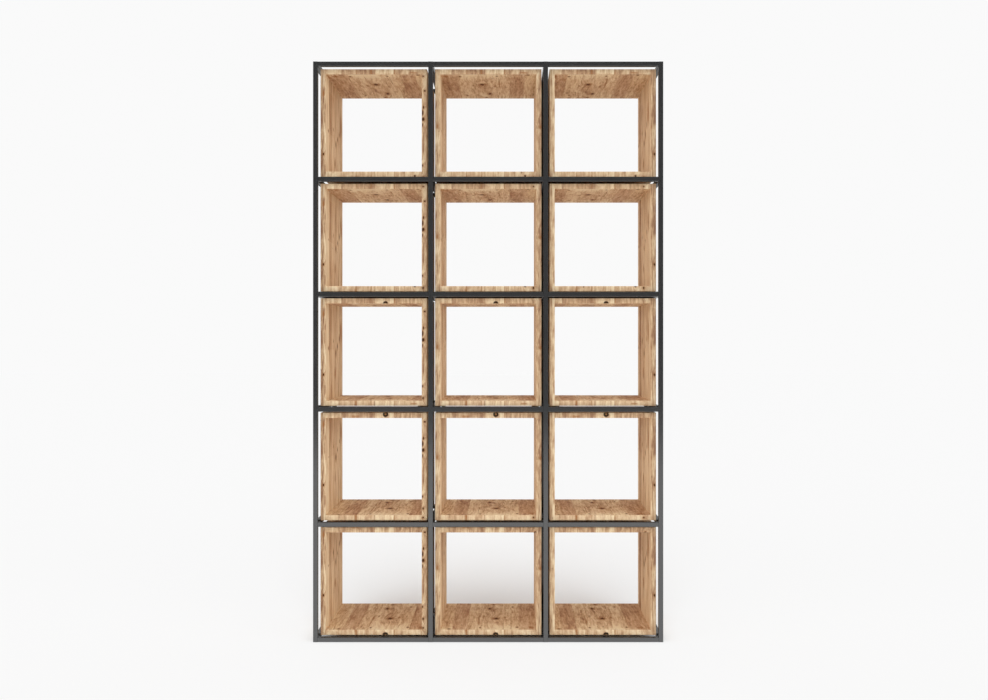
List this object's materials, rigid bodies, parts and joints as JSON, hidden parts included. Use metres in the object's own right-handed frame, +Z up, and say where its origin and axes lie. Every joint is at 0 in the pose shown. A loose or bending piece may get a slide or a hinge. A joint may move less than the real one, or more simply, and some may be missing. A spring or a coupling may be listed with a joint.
{
  "type": "cube storage unit",
  "caption": "Tall open shelving unit of wooden cubes, open front and back, held in a cage of thin black square steel tube.",
  "frame": {"origin": "on the floor, under the middle of the unit", "axes": "+Z up, -Y towards the front, +X to the right seen from the front"},
  "size_m": [1.204, 0.412, 1.9965],
  "materials": {
    "frame_powder_coat": "black powder coat, satin",
    "cube_boards": "knotty stave board, clear matt oil",
    "dowels": "plain beech",
    "black_plastic": "moulded, matt",
    "zinc_steel": "bright zinc plating"
  },
  "bodies": {
    "root": {"front_post_left": "frame_powder_coat", "rear_post_left": "frame_powder_coat", "depth_rails_left": "frame_powder_coat", "front_post_inner_1": "frame_powder_coat", "rear_post_inner_1": "frame_powder_coat", "depth_rails_inner_1": "frame_powder_coat", "front_post_inner_2": "frame_powder_coat", "rear_post_inner_2": "frame_powder_coat", "depth_rails_inner_2": "frame_powder_coat", "front_post_right": "frame_powder_coat", "rear_post_right": "frame_powder_coat", "depth_rails_right": "frame_powder_coat", "front_rails_level_1": "frame_powder_coat", "rear_rails_level_1": "frame_powder_coat", "front_rails_level_2": "frame_powder_coat", "rear_rails_level_2": "frame_powder_coat", "front_rails_level_3": "frame_powder_coat", "rear_rails_level_3": "frame_powder_coat", "front_rails_level_4": "frame_powder_coat", "rear_rails_level_4": "frame_powder_coat", "front_rails_level_5": "frame_powder_coat", "rear_rails_level_5": "frame_powder_coat", "front_rails_level_6": "frame_powder_coat", "rear_rails_level_6": "frame_powder_coat", "support_tabs_row_1": "frame_powder_coat", "cube_row_1_column_1": "cube_boards", "cube_row_1_column_2": "cube_boards", "cube_row_1_column_3": "cube_boards", "cube_dowels_row_1": "dowels", "support_tabs_row_2": "frame_powder_coat", "cube_row_2_column_1": "cube_boards", "cube_row_2_column_2": "cube_boards", "cube_row_2_column_3": "cube_boards", "cube_dowels_row_2": "dowels", "support_tabs_row_3": "frame_powder_coat", "cube_row_3_column_1": "cube_boards", "cube_row_3_column_2": "cube_boards", "cube_row_3_column_3": "cube_boards", "cube_dowels_row_3": "dowels", "support_tabs_row_4": "frame_powder_coat", "cube_row_4_column_1": "cube_boards", "cube_row_4_column_2": "cube_boards", "cube_row_4_column_3": "cube_boards", "cube_dowels_row_4": "dowels", "support_tabs_row_5": "frame_powder_coat", "cube_row_5_column_1": "cube_boards", "cube_row_5_column_2": "cube_boards", "cube_row_5_column_3": "cube_boards", "cube_dowels_row_5": "dowels", "tie_rod_nuts": "frame_powder_coat", "post_floor_glides": "black_plastic", "post_top_caps": "black_plastic", "rail_end_plugs": "black_plastic", "tie_rods": "zinc_steel", "cube_fixing_screws": "zinc_steel"}
  },
  "joints": []
}
